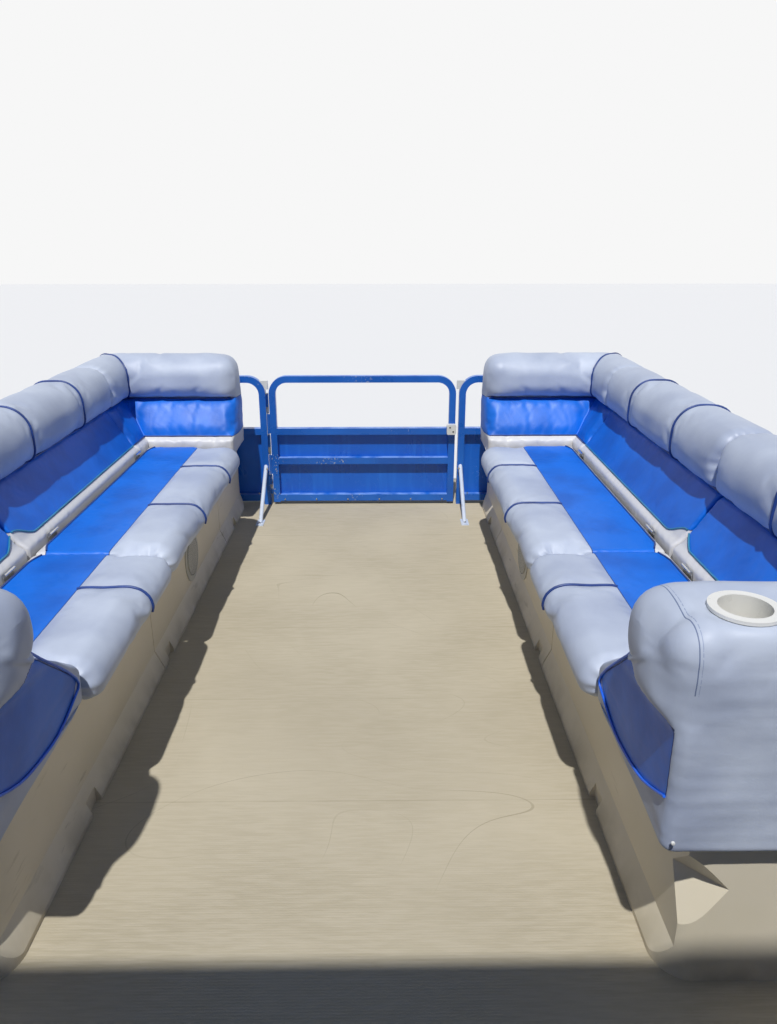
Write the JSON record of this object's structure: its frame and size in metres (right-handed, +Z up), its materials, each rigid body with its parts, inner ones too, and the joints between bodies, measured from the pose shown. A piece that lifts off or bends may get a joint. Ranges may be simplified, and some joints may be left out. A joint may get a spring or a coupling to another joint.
{
  "type": "pontoon boat",
  "caption": "Twin-float pontoon boat with a fenced deck, bow lounges, gates, helm station, tilting outboard motor and folding canopy.",
  "frame": {"origin": "waterline plane, on the centreline, at the middle of the deck's length", "axes": "+Y to the bow, +X to starboard, +Z up"},
  "size_m": [2.59, 7.6259, 2.9665],
  "materials": {
    "float_aluminium": "mill finish",
    "deck_weave": "woven",
    "fence_paint": "gloss",
    "panel_paint": "gloss",
    "brace_paint": "satin",
    "bumper_plastic": "moulded",
    "hinge_steel": "brushed",
    "base_plastic": "moulded",
    "seat_vinyl": "upholstered",
    "back_vinyl": "upholstered",
    "cup_plastic": "moulded",
    "speaker_plastic": "moulded",
    "cleat_metal": "polished",
    "lamp_plastic": "moulded",
    "console_plastic": "moulded",
    "screen_acrylic": "tinted",
    "control_plastic": "moulded",
    "pedestal_metal": "anodised",
    "motor_paint": "gloss",
    "canopy_tube": "anodised",
    "canopy_canvas": "woven",
    "strap_webbing": "woven"
  },
  "bodies": {
    "hull": {"pontoons": "float_aluminium", "deck_beams": "float_aluminium", "deck_trim": "float_aluminium", "motor_pod": "float_aluminium", "bow_eyes": "float_aluminium", "deck_board": "deck_weave", "fence_bow": "fence_paint", "fence_sides": "fence_paint", "fence_stern": "fence_paint", "fence_panels": "panel_paint", "fence_braces": "brace_paint", "gate_bumpers": "bumper_plastic", "gate_hinge_pins": "hinge_steel", "seat_hinges": "hinge_steel", "lounge_bases": "base_plastic", "aft_bench_base": "base_plastic", "back_bow_port": "back_vinyl", "back_bow_starboard": "back_vinyl", "back_side_port": "back_vinyl", "back_side_starboard": "back_vinyl", "back_aft_port": "back_vinyl", "back_aft_starboard": "back_vinyl", "end_back_port": "back_vinyl", "end_back_starboard": "back_vinyl", "aft_bench_back": "back_vinyl", "cup_holders": "cup_plastic", "speakers": "speaker_plastic", "cleats": "cleat_metal", "nav_lights": "lamp_plastic", "helm_console": "console_plastic", "windscreen": "screen_acrylic", "throttle_box": "control_plastic", "helm_pedestal": "pedestal_metal", "outboard_clamp": "motor_paint", "bimini_mounts": "canopy_tube", "bimini_straps": "strap_webbing"},
    "bow_gate": {"bow_gate_frame": "fence_paint", "bow_gate_panel": "panel_paint", "bow_gate_latch": "bumper_plastic"},
    "side_gate": {"side_gate": "fence_paint"},
    "stern_gate": {"stern_gate": "fence_paint"},
    "seat_fore_port": {"seat_fore_port": "seat_vinyl"},
    "seat_aft_port": {"seat_aft_port": "seat_vinyl"},
    "seat_fore_starboard": {"seat_fore_starboard": "seat_vinyl"},
    "seat_aft_starboard": {"seat_aft_starboard": "seat_vinyl"},
    "aft_bench_seat": {"aft_bench_seat": "seat_vinyl"},
    "helm_chair": {"helm_seat": "seat_vinyl"},
    "steering_wheel": {"steering_wheel": "control_plastic"},
    "motor_swivel": {"outboard_swivel": "motor_paint"},
    "motor": {"outboard_leg": "motor_paint", "outboard_cowl": "motor_paint"},
    "propeller": {"propeller": "motor_paint"},
    "canopy_main": {"bimini_main_bow": "canopy_tube", "bimini_canvas": "canopy_canvas"},
    "canopy_front": {"bimini_front_bow": "canopy_tube"},
    "canopy_rear": {"bimini_rear_bow": "canopy_tube"}
  },
  "joints": [
    {"name": "bow_gate_swing", "type": "hinge", "parent": "hull", "child": "bow_gate", "pos_m": [-0.465, 2.92, 0.895], "axis": [0, 0, -1], "range_deg": [0, 90]},
    {"name": "side_gate_swing", "type": "hinge", "parent": "hull", "child": "side_gate", "pos_m": [-1.244, -0.6135, 0.895], "axis": [0, 0, -1], "range_deg": [0, 90]},
    {"name": "stern_gate_swing", "type": "hinge", "parent": "hull", "child": "stern_gate", "pos_m": [0.9635, -2.77, 0.895], "axis": [0, 0, -1], "range_deg": [0, 90]},
    {"name": "seat_fore_port_lift", "type": "hinge", "parent": "hull", "child": "seat_fore_port", "pos_m": [-0.938, 1.95, 0.995], "axis": [0, -1, 0], "range_deg": [0, 75]},
    {"name": "seat_aft_port_lift", "type": "hinge", "parent": "hull", "child": "seat_aft_port", "pos_m": [-0.938, 0.94, 0.995], "axis": [0, -1, 0], "range_deg": [0, 75]},
    {"name": "seat_fore_starboard_lift", "type": "hinge", "parent": "hull", "child": "seat_fore_starboard", "pos_m": [0.938, 1.95, 0.995], "axis": [0, 1, 0], "range_deg": [0, 75]},
    {"name": "seat_aft_starboard_lift", "type": "hinge", "parent": "hull", "child": "seat_aft_starboard", "pos_m": [0.938, 0.94, 0.995], "axis": [0, 1, 0], "range_deg": [0, 75]},
    {"name": "aft_bench_seat_lift", "type": "hinge", "parent": "hull", "child": "aft_bench_seat", "pos_m": [-0.938, -1.8, 0.995], "axis": [0, -1, 0], "range_deg": [0, 75]},
    {"name": "helm_chair_swivel", "type": "hinge", "parent": "hull", "child": "helm_chair", "pos_m": [0.8, -1.5, 1.015], "axis": [0, 0, 1], "continuous": true},
    {"name": "motor_tilt", "type": "hinge", "parent": "hull", "child": "motor_swivel", "pos_m": [0, -3.645, 0.455], "axis": [-1, 0, 0], "range_deg": [0, 60]},
    {"name": "motor_steer", "type": "hinge", "parent": "motor_swivel", "child": "motor", "pos_m": [0, -3.76, 0.3], "axis": [0, 0, 1], "range_deg": [-30, 30]},
    {"name": "propeller_spin", "type": "hinge", "parent": "motor", "child": "propeller", "pos_m": [0, -4.1, -0.254], "axis": [0, 1, 0], "continuous": true},
    {"name": "wheel_turn", "type": "hinge", "parent": "hull", "child": "steering_wheel", "pos_m": [0.8, -0.89923, 1.355], "axis": [0, -0.9063, 0.4226], "range_deg": [-540, 540]},
    {"name": "canopy_fold", "type": "hinge", "parent": "hull", "child": "canopy_main", "pos_m": [0, -1.9, 1.265], "axis": [1, 0, 0], "range_deg": [0, 96], "deforming": ["bimini_canvas", "bimini_straps"]},
    {"name": "canopy_front_fold", "type": "hinge", "parent": "canopy_main", "child": "canopy_front", "pos_m": [0, -1.76574, 1.59069], "axis": [1, 0, 0], "range_deg": [0, 32]},
    {"name": "canopy_rear_fold", "type": "hinge", "parent": "canopy_main", "child": "canopy_rear", "pos_m": [0, -1.87005, 1.5164], "axis": [1, 0, 0], "range_deg": [-66, 0]}
  ],
  "couplings": [
    {"joint": "wheel_turn", "follows": "motor_steer", "ratio": -18},
    {"joint": "canopy_front_fold", "follows": "canopy_fold", "ratio": 0.31667},
    {"joint": "canopy_rear_fold", "follows": "canopy_fold", "ratio": -0.67188}
  ]
}
